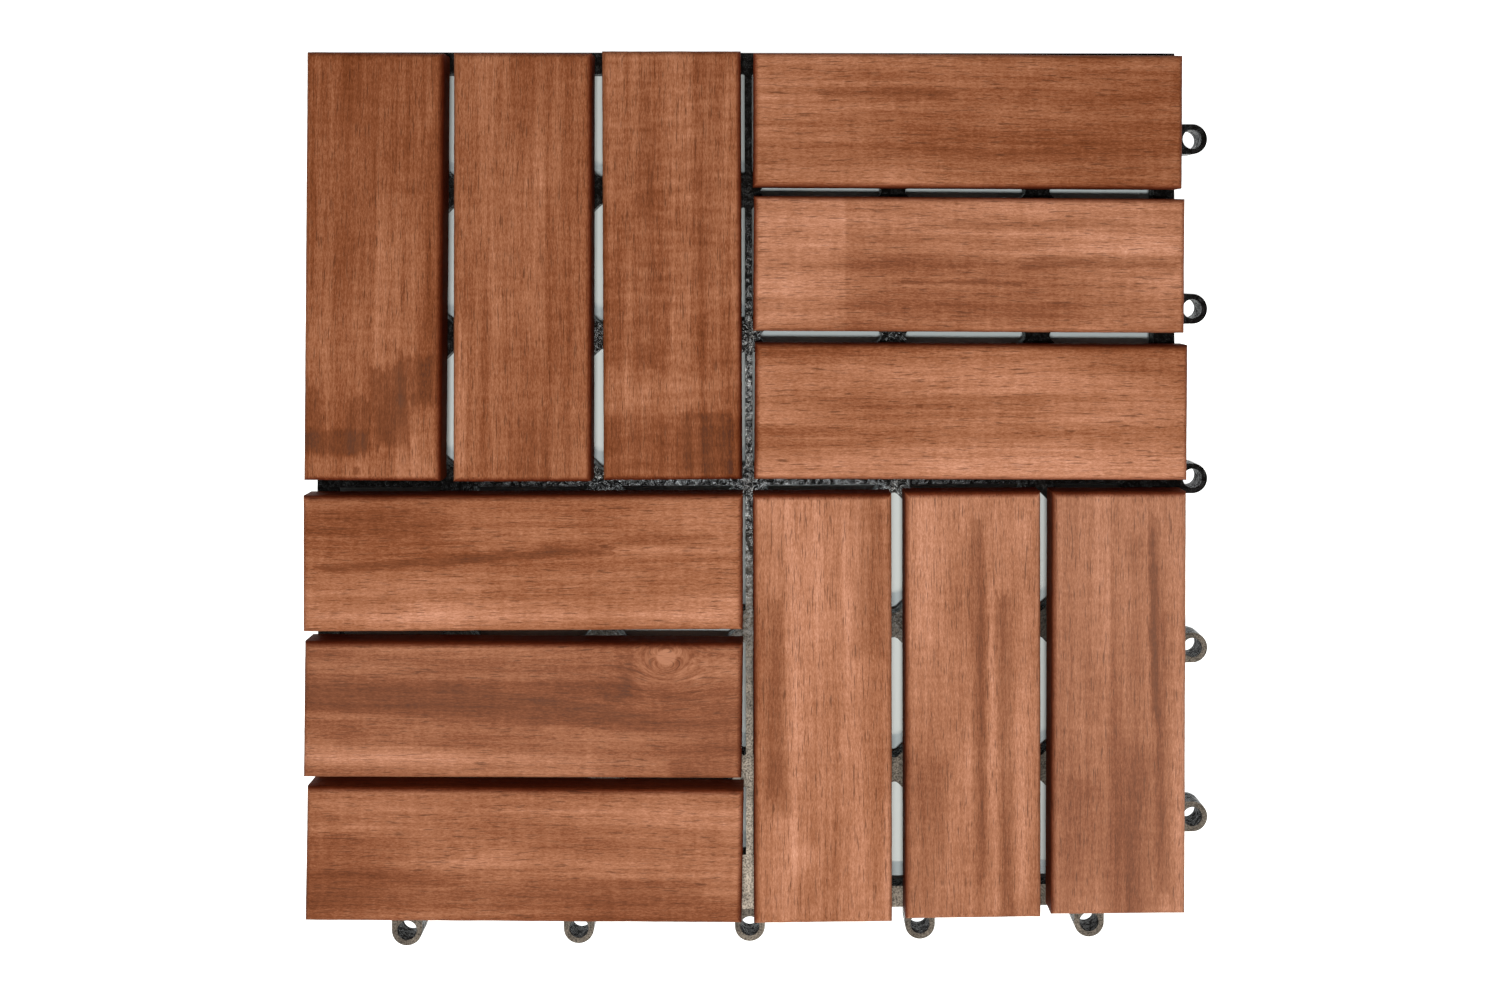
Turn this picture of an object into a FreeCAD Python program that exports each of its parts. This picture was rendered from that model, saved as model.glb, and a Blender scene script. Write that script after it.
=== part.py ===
import FreeCAD, Part
import math
import os

from FreeCAD import Vector

# Interlocking deck tile: twelve hardwood slats, laid in four squares of three,
# on one moulded lattice base, held by screws driven up from below.
# Seen from above, X points right and Y points to the back edge.
# The origin is on the ground under the middle of the base, and Z points up.

# Lattice base, moulded in one piece
base_side = 300.0
lattice_pitch = 50.8
pitches_per_side = 6
base_height = 12.0
lattice_depth = 7.0
top_skin = 2.0
rib_width = 4.8
rib_wall = 1.4
centre_rib_width = 2.5
cell_corner_radius = 2.0
cell_tip_radius = 0.6
rib_channel_setback = 6.5

# Border round the lattice, a channel open from below
border_width = 7.4
border_outer_wall = 2.0
border_inner_wall = 1.6
border_web = 1.6
leg_length = 8.0

# Pads behind the middle loops
pad_length = 19.0
pad_width = 16.0

# Round posts under the nodes of the slat gaps, and the hub on the middle node
post_radius = 3.0
post_bore_radius = 1.6
hub_radius = 3.2
hub_height = 0.8

# Loops on the right and front edges, and pegs under the left and back borders
loops_per_side = 5
loop_height = 10.0
loop_wall = 1.9
loop_root_radius = 1.5
peg_radius = 3.0
peg_clearance = 0.4
peg_end_gap = 1.0
peg_tip_chamfer = 0.8
peg_core_radius = 1.4
loop_pocket_clearance = 0.6
loop_headroom = 0.4

# Hardwood slats
slat_thickness = 12.0
slats_per_square = 3
slat_edge_inset = 0.5
centre_gap = 5.0
slat_gap = 4.2
slat_edge_radius = 2.0

# How each slat sits when it is screwed down by hand: shift along X, shift along Y, turn in degrees
slat_seating = {
    "slat_back_left_1": (-0.9, -0.8, -0.65),
    "slat_back_left_2": (-0.95, -0.8, -0.25),
    "slat_back_left_3": (-0.6, -0.3, -0.05),
    "slat_back_right_1": (0.1, -1.1, -0.2),
    "slat_back_right_2": (0.55, -0.4, -0.4),
    "slat_back_right_3": (1.1, -0.65, -0.35),
    "slat_front_left_1": (-1.1, -0.3, -0.15),
    "slat_front_left_2": (-1.3, -0.3, -0.55),
    "slat_front_left_3": (-1.1, 0.0, -0.8),
    "slat_front_right_1": (0.1, -0.9, 0.0),
    "slat_front_right_2": (1.2, -0.3, 0.0),
    "slat_front_right_3": (1.2, -0.1, -0.25),
}

# Pan-head screws, two to a slat, and their seats in the base and the slats
screw_radius = 1.75
screw_bite = 8.0
screw_point = 1.5
screw_head_radius = 3.8
screw_head_height = 2.2
screw_head_chamfer = 0.8
screw_cross_length = 4.2
screw_cross_width = 1.0
screw_cross_depth = 1.2
screw_hole_clearance = 0.25
screw_head_clearance = 0.4
screw_seat_thickness = 4.0
screw_boss_wall = 1.2
screw_boss_drop = 1.0
pilot_clearance = 0.05
pilot_extra_depth = 0.5

# Places and sizes that follow from those above
half_side = base_side / 2
half_pitch = lattice_pitch / 2
lattice_bottom = base_height - lattice_depth
channel_top = base_height - top_skin
inner_half = half_side - border_width
node_overhang = lattice_pitch * pitches_per_side / 2 - half_side
loop_hole_radius = peg_radius + peg_clearance
loop_radius = loop_hole_radius + loop_wall
loop_pitch = base_side / loops_per_side
peg_inset = border_width / 2
tile_joint_gap = slat_gap - 2 * slat_edge_inset
loop_reach = peg_inset + tile_joint_gap
pocket_top = loop_height + loop_headroom
slat_length = half_side - slat_edge_inset - centre_gap / 2
slat_width = (slat_length - (slats_per_square - 1) * slat_gap) / slats_per_square
screw_seat = base_height - screw_seat_thickness
boss_radius = screw_head_radius + screw_head_clearance + screw_boss_wall
overshoot = 1.0
diagonal = math.sqrt(2.0)


def block(x0, y0, z0, x1, y1, z1):
    """Box between two corners."""
    return Part.makeBox(x1 - x0, y1 - y0, z1 - z0, Vector(x0, y0, z0))


def rod(x, y, z0, z1, radius):
    """Upright cylinder from z0 to z1."""
    return Part.makeCylinder(radius, z1 - z0, Vector(x, y, z0))


def lattice_nodes():
    """Crossings of the diagonal ribs, counted in half pitches from the middle."""
    reach = pitches_per_side
    for column in range(-reach, reach + 1):
        for row in range(-reach, reach + 1):
            if (column + row) % 2 == 0:
                yield column, row


def gap_nodes():
    """Nodes under the slat gaps, which stand on posts."""
    for column, row in lattice_nodes():
        inside = max(abs(column), abs(row)) < pitches_per_side
        if column % 2 == 0 and inside:
            yield column * half_pitch, row * half_pitch


def diamond(x, y):
    """Opening between four diagonal ribs, centred on x, y."""
    side = lattice_pitch / diagonal - rib_width
    shape = Part.makeBox(
        side, side, lattice_depth + 2 * overshoot, Vector(-side / 2, -side / 2, lattice_bottom - overshoot)
    )
    shape.rotate(Vector(0, 0, 0), Vector(0, 0, 1), 45)
    shape.translate(Vector(x, y, 0))
    return shape


def upright_edges(shape, chosen):
    """Vertical edges of a shape whose x, y passes the test."""
    edges = []
    for edge in shape.Edges:
        ends = [vertex.Point for vertex in edge.Vertexes]
        if len(ends) == 2 and abs(ends[0].x - ends[1].x) + abs(ends[0].y - ends[1].y) < 0.001:
            if chosen(ends[0].x, ends[0].y):
                edges.append(edge)
    return edges


def on_frame(x, y):
    """True at a corner where an opening is cut off by the border or a centre rib."""
    near = (centre_rib_width / 2, inner_half)
    return any(abs(abs(place) - line) < 0.01 for place in (x, y) for line in near)


def lattice_openings():
    """All openings of the lattice, with their moulded corner radii."""
    reach = pitches_per_side
    diamonds = [
        diamond(column * half_pitch, row * half_pitch)
        for column in range(-reach, reach + 1)
        for row in range(-reach, reach + 1)
        if (column + row) % 2 == 1
    ]
    low = centre_rib_width / 2
    tall = (lattice_bottom - overshoot, base_height + overshoot)
    openings = []
    for side_x in (-1, 1):
        for side_y in (-1, 1):
            xs = sorted((side_x * low, side_x * inner_half))
            ys = sorted((side_y * low, side_y * inner_half))
            window = block(xs[0], ys[0], tall[0], xs[1], ys[1], tall[1])
            openings += window.common(Part.makeCompound(diamonds)).Solids
    rounded = []
    for opening in openings:
        tips = upright_edges(opening, on_frame)
        if tips:
            opening = opening.makeFillet(cell_tip_radius, tips)
        corners = upright_edges(opening, lambda x, y: not near_tip(x, y))
        if corners:
            opening = opening.makeFillet(cell_corner_radius, corners)
        rounded.append(opening)
    return rounded


def near_tip(x, y):
    """True close to the border or a centre rib, where the small radius is used."""
    margin = 3 * cell_tip_radius
    near = (centre_rib_width / 2, inner_half)
    return any(abs(abs(place) - line) < margin for place in (x, y) for line in near)


def rib_channels():
    """Grooves that hollow the diagonal ribs from below, between one node and the next."""
    width = rib_width - 2 * rib_wall
    border_setback = (node_overhang + border_width + rib_wall) * diagonal
    span = half_pitch * diagonal
    channels = []
    for column, row in lattice_nodes():
        for step in (-1, 1):
            end = (column + 1, row + step)
            if max(abs(end[0]), abs(end[1])) > pitches_per_side:
                continue
            setback = [
                border_setback if max(abs(node[0]), abs(node[1])) == pitches_per_side else rib_channel_setback
                for node in ((column, row), end)
            ]
            length = span - sum(setback)
            if length < width:
                continue
            groove = Part.makeBox(
                length, width, channel_top - lattice_bottom + overshoot,
                Vector(setback[0], -width / 2, lattice_bottom - overshoot),
            )
            groove.rotate(Vector(0, 0, 0), Vector(0, 0, 1), 45 * step)
            groove.translate(Vector(column * half_pitch, row * half_pitch, 0))
            channels.append(groove)
    return channels


def turned_to_edges(shape, quarter_turns):
    """Copies of a shape made for the right edge, turned by quarter turns about the middle."""
    copies = []
    for turns in quarter_turns:
        copy = shape.copy()
        copy.rotate(Vector(0, 0, 0), Vector(0, 0, 1), 90 * turns)
        copies.append(copy)
    return copies


def loop_places():
    """Distances of the loops from the middle of their edge."""
    return [(index - (loops_per_side - 1) / 2) * loop_pitch for index in range(loops_per_side)]


def leg_places():
    """Distances of the border's legs from the middle of their edge, midway between the loops."""
    return [(index - (loops_per_side - 2) / 2) * loop_pitch for index in range(loops_per_side - 1)]


def border_channels():
    """Grooves under the border, with a web at each leg."""
    outer = half_side - border_outer_wall
    inner = inner_half + border_inner_wall
    stations = [-half_side] + leg_places() + [half_side]
    channels = []
    for start, end in zip(stations, stations[1:]):
        low = max(start + border_web / 2, -outer)
        high = min(end - border_web / 2, outer)
        channels.append(block(inner, low, -overshoot, outer, high, channel_top))
    return [copy for channel in channels for copy in turned_to_edges(channel, range(4))]


def border_legs():
    """Short stretches of the border that reach down to the ground."""
    half_leg = leg_length / 2
    legs = [block(inner_half, half_side - leg_length, 0, half_side, half_side, lattice_bottom + overshoot)]
    for along in leg_places():
        legs.append(block(inner_half, along - half_leg, 0, half_side, along + half_leg, lattice_bottom + overshoot))
    return [copy for leg in legs for copy in turned_to_edges(leg, range(4))]


def loop(along):
    """One loop on the right edge: a ring on a short arm with rounded roots."""
    root = half_side
    fillet = loop_root_radius
    middle = half_side + loop_reach
    back = half_side - border_outer_wall
    bend = fillet * (1 - 1 / diagonal)

    def point(x, y):
        return Vector(x, along + y, 0)

    outline = [
        Part.LineSegment(point(back, loop_radius + fillet), point(back, -loop_radius - fillet)),
        Part.LineSegment(point(back, -loop_radius - fillet), point(root, -loop_radius - fillet)),
        Part.Arc(
            point(root, -loop_radius - fillet),
            point(root + bend, -loop_radius - bend),
            point(root + fillet, -loop_radius),
        ),
        Part.LineSegment(point(root + fillet, -loop_radius), point(middle, -loop_radius)),
        Part.Arc(point(middle, -loop_radius), point(middle + loop_radius, 0), point(middle, loop_radius)),
        Part.LineSegment(point(middle, loop_radius), point(root + fillet, loop_radius)),
        Part.Arc(
            point(root + fillet, loop_radius),
            point(root + bend, loop_radius + bend),
            point(root, loop_radius + fillet),
        ),
        Part.LineSegment(point(root, loop_radius + fillet), point(back, loop_radius + fillet)),
    ]
    face = Part.Face(Part.Wire([segment.toShape() for segment in outline]))
    arm = face.extrude(Vector(0, 0, loop_height))
    return arm.cut(rod(middle, along, -overshoot, loop_height + overshoot, loop_hole_radius))


def loop_pocket(along):
    """Room under the right border for a neighbour's loop, cut before it is turned to its edge."""
    radius = loop_radius + loop_pocket_clearance
    middle = half_side - peg_inset
    ring = rod(middle, along, -overshoot, pocket_top, radius)
    slot = block(middle, along - radius, -overshoot, half_side + overshoot, along + radius, pocket_top)
    return ring.fuse(slot)


def peg(along):
    """One peg under the right border, hollow from its lower end, before it is turned to its edge."""
    middle = half_side - peg_inset
    shaft_end = peg_end_gap + peg_tip_chamfer
    shaft = rod(middle, along, shaft_end, pocket_top + overshoot, peg_radius)
    tip = Part.makeCone(
        peg_radius - peg_tip_chamfer, peg_radius, peg_tip_chamfer, Vector(middle, along, peg_end_gap)
    )
    core = rod(middle, along, 0, pocket_top, peg_core_radius)
    return shaft.fuse(tip).cut(core)


def middle_pads():
    """Flat pads that close the lattice behind the middle loops."""
    back = half_side - pad_length
    pad = block(back, -pad_width / 2, channel_top, inner_half + overshoot, pad_width / 2, base_height)
    return turned_to_edges(pad, (0, -1))


def slat_frames():
    """Each slat's name, its middle, and whether it runs along X."""
    far = (centre_gap + slat_length) / 2
    frames = []
    for index in range(slats_per_square):
        across = centre_gap / 2 + slat_width / 2 + index * (slat_width + slat_gap)
        number = slats_per_square - index
        frames.append(("slat_back_left_%d" % number, -across, far, False))
        frames.append(("slat_back_right_%d" % number, far, across, True))
        frames.append(("slat_front_left_%d" % (index + 1), -far, -across, True))
        frames.append(("slat_front_right_%d" % (index + 1), across, -far, False))
    return frames


def nearest_slat_node(value):
    """Nearest node line between the slat gaps."""
    return (math.floor(value / lattice_pitch) + 0.5) * lattice_pitch


def slat_screws(x, y, along_x):
    """The two nodes where a slat is screwed down, one near each end."""
    square_x = lattice_pitch * slats_per_square * math.copysign(0.5, x)
    square_y = lattice_pitch * slats_per_square * math.copysign(0.5, y)
    offset = lattice_pitch * (slats_per_square - 1) / 2
    if along_x:
        line = nearest_slat_node(y)
        return [(square_x - offset, line), (square_x + offset, line)]
    line = nearest_slat_node(x)
    return [(line, square_y - offset), (line, square_y + offset)]


def screw_places():
    """All screw axes, in the order of the slats."""
    return [place for name, x, y, along_x in slat_frames() for place in slat_screws(x, y, along_x)]


def make_base():
    """The moulded base with its lattice, border, posts, bosses, loops and pegs."""
    plate = block(-half_side, -half_side, lattice_bottom, half_side, half_side, base_height)
    plate = plate.cut(Part.makeCompound(lattice_openings()))
    added = border_legs()
    added += middle_pads()
    boss_bottom = lattice_bottom - screw_boss_drop
    for x, y in screw_places():
        added.append(rod(x, y, boss_bottom, base_height, boss_radius))
    for x, y in gap_nodes():
        added.append(rod(x, y, 0, channel_top, post_radius))
    added.append(rod(0, 0, channel_top, base_height + hub_height, hub_radius))
    for along in loop_places():
        added += turned_to_edges(loop(along), (0, -1))
    base = plate.multiFuse(added)

    removed = rib_channels() + border_channels()
    for x, y in gap_nodes():
        if (x, y) != (0, 0):
            removed.append(rod(x, y, -overshoot, channel_top, post_bore_radius))
    for x, y in screw_places():
        head_room = screw_head_radius + screw_head_clearance
        removed.append(rod(x, y, 0, screw_seat, head_room))
        removed.append(rod(x, y, 0, base_height + overshoot, screw_radius + screw_hole_clearance))
    for along in loop_places():
        removed += turned_to_edges(loop_pocket(along), (1, 2))
    base = base.cut(Part.makeCompound(removed))

    pegs = [copy for along in loop_places() for copy in turned_to_edges(peg(along), (1, 2))]
    return base.multiFuse(pegs).removeSplitter()


def make_slat(name, x, y, along_x):
    """One slat with eased top edges, seated as it was screwed down, with its pilot holes."""
    size_x, size_y = (slat_length, slat_width) if along_x else (slat_width, slat_length)
    slat = Part.makeBox(size_x, size_y, slat_thickness, Vector(-size_x / 2, -size_y / 2, 0))
    top_edges = [edge for edge in slat.Edges if edge.CenterOfMass.z > slat_thickness - 0.001]
    slat = slat.makeFillet(slat_edge_radius, top_edges)
    shift_x, shift_y, turn = slat_seating[name]
    slat.rotate(Vector(0, 0, 0), Vector(0, 0, 1), turn)
    slat.translate(Vector(x + shift_x, y + shift_y, base_height))
    for hole_x, hole_y in slat_screws(x, y, along_x):
        depth = screw_bite + screw_point + pilot_extra_depth
        slat = slat.cut(
            rod(hole_x, hole_y, base_height - overshoot, base_height + depth, screw_radius + pilot_clearance)
        )
    return slat


def make_screw(x, y):
    """One pan-head wood screw standing on its head, with a cross recess."""
    head_bottom = screw_seat - screw_head_height
    chamfer = screw_head_chamfer
    shank_top = base_height + screw_bite
    profile = [
        (0, head_bottom),
        (screw_head_radius - chamfer, head_bottom),
        (screw_head_radius, head_bottom + chamfer),
        (screw_head_radius, screw_seat),
        (screw_radius, screw_seat),
        (screw_radius, shank_top),
        (0, shank_top + screw_point),
        (0, head_bottom),
    ]
    outline = Part.makePolygon([Vector(radius, 0, height) for radius, height in profile])
    screw = Part.Face(outline).revolve(Vector(0, 0, 0), Vector(0, 0, 1), 360)
    long_half = screw_cross_length / 2
    wide_half = screw_cross_width / 2
    recess_top = head_bottom + screw_cross_depth
    bar = block(-long_half, -wide_half, head_bottom - overshoot, long_half, wide_half, recess_top)
    cross_bar = block(-wide_half, -long_half, head_bottom - overshoot, wide_half, long_half, recess_top)
    screw = screw.cut(bar.fuse(cross_bar))
    screw.translate(Vector(x, y, 0))
    return screw


def export(shape, name):
    """Writes one sub-part and prints its solids and volume."""
    shape.exportStep("parts/%s.step" % name)
    print(name, len(shape.Solids), "solid(s), %.0f mm3" % shape.Volume, "valid" if shape.isValid() else "not valid")


os.makedirs("parts", exist_ok=True)
export(make_base(), "base_grid")
for slat_name, slat_x, slat_y, slat_along_x in slat_frames():
    export(make_slat(slat_name, slat_x, slat_y, slat_along_x), slat_name)
export(Part.makeCompound([make_screw(x, y) for x, y in screw_places()]), "screws")
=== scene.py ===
import math

import bpy
from mathutils import Matrix, Vector


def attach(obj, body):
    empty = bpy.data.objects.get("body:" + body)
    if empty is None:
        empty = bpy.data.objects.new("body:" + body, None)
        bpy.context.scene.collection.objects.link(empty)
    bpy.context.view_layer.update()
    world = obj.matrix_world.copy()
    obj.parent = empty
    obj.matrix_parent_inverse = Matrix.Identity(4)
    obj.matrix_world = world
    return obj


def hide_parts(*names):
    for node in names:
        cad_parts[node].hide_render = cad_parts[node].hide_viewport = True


# Interlocking deck tile: twelve oiled hardwood slats on a black moulded lattice base.
# X points right, Y to the back edge and Z up, as the photograph shows the tile from above.

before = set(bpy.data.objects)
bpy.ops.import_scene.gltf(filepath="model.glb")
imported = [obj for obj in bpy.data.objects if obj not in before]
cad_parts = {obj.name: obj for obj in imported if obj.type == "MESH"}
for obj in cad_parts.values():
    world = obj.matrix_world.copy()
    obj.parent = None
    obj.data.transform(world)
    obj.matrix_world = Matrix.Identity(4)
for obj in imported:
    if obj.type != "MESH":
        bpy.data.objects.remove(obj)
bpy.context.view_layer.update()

mm = 0.001
metres_to_mm = (1000.0, 1000.0, 1000.0)
tile_half = 150 * mm

# Sizes of the slats, repeated from the part; years of feet have eased the edges further
slat_length = 147 * mm
slat_width = 46.2 * mm
slat_thickness = 12 * mm
slat_bottom = 12 * mm
slat_edge_radius = 2.5 * mm
slat_edge_waviness = 0.10 * mm
slat_saw_roughness = 0.06 * mm


def linear(colour):
    """sRGB hex colour as linear red, green, blue and alpha."""
    channels = [int(colour[i:i + 2], 16) / 255 for i in (1, 3, 5)]
    return [c / 12.92 if c <= 0.04045 else ((c + 0.055) / 1.055) ** 2.4 for c in channels] + [1.0]


def add(tree, kind, inputs=None, **settings):
    """Adds a node with its settings, and gives its inputs values or links. A node stands for its first output."""
    node = tree.nodes.new(kind)
    for name, value in settings.items():
        setattr(node, name, value)
    for socket, value in (inputs or {}).items():
        if isinstance(value, bpy.types.Node):
            value = value.outputs[0]
        if isinstance(value, bpy.types.NodeSocket):
            tree.links.new(value, node.inputs[socket])
        else:
            node.inputs[socket].default_value = value
    return node


def new_finish(name):
    """A material with no nodes yet, and its tree."""
    material = bpy.data.materials.new(name)
    material.use_nodes = True
    material.node_tree.nodes.clear()
    return material, material.node_tree


def centred(tree, noise):
    """A noise's three channels, about zero."""
    colour = noise.outputs["Color"]
    return add(tree, "ShaderNodeVectorMath", {0: colour, 1: (0.5, 0.5, 0.5)}, operation="SUBTRACT")


# Geometry of one slat

# Columns and rows of the mesh: about one to a millimetre along and across, and six rows round the eased edge
slat_mesh = {"Vertices X": 148, "Vertices Y": 47, "Vertices Z": 13}

# How the surface is off true: the input that says how far, cycles per metre, detail.
# It moves less upwards than sideways, and not at all where it lies on the base.
slat_waves = (
    ("Edge Waviness", 90.0, 2.0),
    ("Saw Roughness", 520.0, 1.0),
)
upward_share = 0.35
true_below = 1.0 * mm


def slat_tree():
    """Geometry nodes for a sawn and sanded slat: a fine-meshed bar with eased top edges that are never quite true."""
    tree = bpy.data.node_groups.new("sanded_slat", "GeometryNodeTree")
    tree.interface.new_socket("Geometry", in_out="OUTPUT", socket_type="NodeSocketGeometry")
    sizes = {
        "Length": slat_length,
        "Width": slat_width,
        "Thickness": slat_thickness,
        "Edge Radius": slat_edge_radius,
        "Edge Waviness": slat_edge_waviness,
        "Saw Roughness": slat_saw_roughness,
        "Seed": 0.0,
    }
    for name, value in sizes.items():
        socket = tree.interface.new_socket(name, in_out="INPUT", socket_type="NodeSocketFloat")
        socket.default_value = value
    tree.interface.new_socket("Material", in_out="INPUT", socket_type="NodeSocketMaterial")
    given = add(tree, "NodeGroupInput").outputs

    # A unit bar: the lower half of its rows is the side wall, the upper half goes round the eased edge
    bar = add(tree, "GeometryNodeMeshCube", slat_mesh)
    unit = add(tree, "ShaderNodeSeparateXYZ", {0: add(tree, "GeometryNodeInputPosition")}).outputs
    height = add(tree, "ShaderNodeMath", {0: unit["Z"], 1: 0.5}, operation="ADD")
    wall_share = add(tree, "ShaderNodeMapRange", {0: height, 1: 0.0, 2: 0.5})
    edge_angle = add(tree, "ShaderNodeMapRange", {0: height, 1: 0.5, 2: 1.0, 4: math.pi / 2})
    wall_height = add(tree, "ShaderNodeMath", {0: given["Thickness"], 1: given["Edge Radius"]}, operation="SUBTRACT")
    on_wall = add(tree, "ShaderNodeMath", {0: wall_share, 1: wall_height}, operation="MULTIPLY")
    rise = add(tree, "ShaderNodeMath", {0: edge_angle}, operation="SINE")
    z = add(tree, "ShaderNodeMath", {0: rise, 1: given["Edge Radius"], 2: on_wall}, operation="MULTIPLY_ADD")
    across = add(tree, "ShaderNodeMath", {0: edge_angle}, operation="COSINE")
    drawn_in = add(tree, "ShaderNodeMath", {0: 1.0, 1: across}, operation="SUBTRACT")
    inset = add(tree, "ShaderNodeMath", {0: drawn_in, 1: given["Edge Radius"]}, operation="MULTIPLY")
    plan = []
    for axis, size in (("X", "Length"), ("Y", "Width")):
        narrowed = add(tree, "ShaderNodeMath", {0: inset, 1: -2.0, 2: given[size]}, operation="MULTIPLY_ADD")
        plan.append(add(tree, "ShaderNodeMath", {0: unit[axis], 1: narrowed}, operation="MULTIPLY"))
    formed = add(tree, "ShaderNodeCombineXYZ", {0: plan[0], 1: plan[1], 2: z})
    shaped = add(tree, "GeometryNodeSetPosition", {"Geometry": bar, "Position": formed})

    # Long waves from sanding by hand, and short ones from the saw
    place = add(tree, "GeometryNodeInputPosition")
    moved = shaped
    for name, scale, detail in slat_waves:
        waves = add(
            tree, "ShaderNodeTexNoise", {"Vector": place, "W": given["Seed"], "Scale": scale, "Detail": detail},
            noise_dimensions="4D",
        )
        flat_below = add(tree, "ShaderNodeMapRange", {0: z, 1: 0.0, 2: true_below, 4: 2.0})
        reach = add(tree, "ShaderNodeMath", {0: given[name], 1: flat_below}, operation="MULTIPLY")
        offset = add(tree, "ShaderNodeVectorMath", {0: centred(tree, waves), "Scale": reach}, operation="SCALE")
        level = add(tree, "ShaderNodeVectorMath", {0: offset, 1: (1.0, 1.0, upward_share)}, operation="MULTIPLY")
        moved = add(tree, "GeometryNodeSetPosition", {"Geometry": moved, "Offset": level})

    real = add(tree, "GeometryNodeRealizeInstances", {"Geometry": moved})
    painted = add(tree, "GeometryNodeSetMaterial", {"Geometry": real, "Material": given["Material"]})
    add(tree, "NodeGroupOutput", {"Geometry": painted})
    return tree


near_bottom = slat_bottom + 0.1 * mm


def slat_place(node):
    """Middle of the CAD slat's underside, the turn of its grain, its length and its width."""
    corners = {}
    low = [v.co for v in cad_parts[node].data.vertices if v.co.z < near_bottom]
    for side_x in (-1, 1):
        for side_y in (-1, 1):
            corners[side_x, side_y] = max(low, key=lambda p: p.x * side_x + p.y * side_y)
    middle = sum(corners.values(), Vector()) / 4
    along_x = corners[1, 1] - corners[-1, 1]
    along_y = corners[-1, -1] - corners[-1, 1]
    grain, width = (along_x, along_y) if along_x.length > along_y.length else (along_y, along_x)
    return middle, math.atan2(grain.y, grain.x), grain.length, width.length


# Finishes

# A patch's edge is torn along the fibres: cycles per millimetre along, across and up, and how far along and across
tear_scale = (0.09, 0.55, 0.3)
tear_reach = (1.0, 0.25, 0.0)


def patch_group():
    """Shader group: 1 inside a patch on a slat, 0 outside, with a ragged or soft edge."""
    tree = bpy.data.node_groups.new("patch_on_slat", "ShaderNodeTree")
    tree.interface.new_socket("Mask", in_out="OUTPUT", socket_type="NodeSocketFloat")
    for name, kind in (("Vector", "Vector"), ("Middle", "Vector"), ("Half Size", "Vector"), ("Edge", "Float"),
                       ("Ragged", "Float"), ("Slant", "Float")):
        tree.interface.new_socket(name, in_out="INPUT", socket_type="NodeSocket" + kind)
    given = add(tree, "NodeGroupInput").outputs
    fibres = add(tree, "ShaderNodeMapping", {"Vector": given["Vector"], "Scale": tear_scale})
    tear = add(tree, "ShaderNodeTexNoise", {"Vector": fibres, "Scale": 1.0, "Detail": 3.0, "Roughness": 0.6})
    tear = add(tree, "ShaderNodeVectorMath", {0: centred(tree, tear), 1: tear_reach}, operation="MULTIPLY")
    tear = add(tree, "ShaderNodeVectorMath", {0: tear, "Scale": given["Ragged"]}, operation="SCALE")
    offset = add(tree, "ShaderNodeVectorMath", {0: given["Vector"], 1: given["Middle"]}, operation="SUBTRACT")
    along = add(tree, "ShaderNodeSeparateXYZ", {0: offset}).outputs["X"]
    drift = add(tree, "ShaderNodeMath", {0: along, 1: given["Slant"]}, operation="MULTIPLY")
    drift = add(tree, "ShaderNodeCombineXYZ", {1: drift})
    offset = add(tree, "ShaderNodeVectorMath", {0: offset, 1: drift}, operation="SUBTRACT")
    distance = add(tree, "ShaderNodeVectorMath", {0: offset}, operation="ABSOLUTE")
    outside = add(tree, "ShaderNodeVectorMath", {0: distance, 1: given["Half Size"]}, operation="SUBTRACT")
    torn = add(tree, "ShaderNodeVectorMath", {0: outside, 1: tear}, operation="ADD")
    parts = add(tree, "ShaderNodeSeparateXYZ", {0: torn}).outputs
    worst = add(tree, "ShaderNodeMath", {0: parts["X"], 1: parts["Y"]}, operation="MAXIMUM")
    inner = add(tree, "ShaderNodeMath", {0: given["Edge"], 1: -1.0}, operation="MULTIPLY")
    mask = add(
        tree, "ShaderNodeMapRange", {0: worst, 1: given["Edge"], 2: inner, 3: 0.0, 4: 1.0},
        interpolation_type="SMOOTHSTEP",
    )
    add(tree, "NodeGroupOutput", {"Mask": mask})
    return tree


patch = patch_group()

# Layers of the grain: cycles per millimetre along and across it, detail, roughness, and how much each one shades.
# A real pore is under 0.3 mm wide, so fleck and pores are drawn somewhat coarser, as they need to show.
grain_layers = {
    "broad": (0.012, 0.030, 2.0, 0.50, 0.54),
    "bands": (0.006, 0.140, 2.0, 0.50, 0.45),
    "lines": (0.012, 0.450, 2.0, 0.55, 0.31),
    "streaks": (0.060, 1.250, 3.0, 0.60, 0.32),
    "fleck": (0.700, 2.300, 3.0, 0.75, 0.68),
    "ripple": (0.330, 0.070, 2.0, 0.60, 0.17),
}

# Palette of the oiled wood, from dark heartwood to the palest streak
wood_palette = (
    (0.000, "#4A2210"),
    (0.150, "#673213"),
    (0.325, "#82482A"),
    (0.500, "#9E6445"),
    (0.675, "#B97D5F"),
    (0.850, "#D4977B"),
    (1.000, "#EDB89B"),
)
pore_colour = "#4A240F"
stain_colour = "#7C5039"
haze_colour = "#CBAA9C"
# Colour of the painted shade on the eased edges and sides that turn away from the light
edge_shade_colour = "#A06744"

# Every slat's figure is cut this much further along the patterns than that of the slat before it
figure_step = 37.0

# Wander of the grain: cycles per millimetre, and millimetres across the slat and up
wander_scale = (0.011, 0.02, 0.02)
wander_across = 3.0
wander_up = 4.0

# Pores: cycles per millimetre, the noise between which one deepens, and how deep it is
pore_scale = (0.16, 2.4, 2.4)
pore_edge = (0.60, 0.70)
pore_depth = 0.62

# Knot, in millimetres from its middle: how the grain parts, its rings (in radians per millimetre) and its eye
knot_stretch = (0.8, 1.0, 0.0)
knot_softness = 12.0
ring_turn = 1.7
ring_unevenness = 14.0
ring_span = (3.0, 22.0)
ring_depth = 0.07
eye_edge = (3.2, 2.4)
eye_cover = 0.85
eye_tone = 0.66

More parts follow.
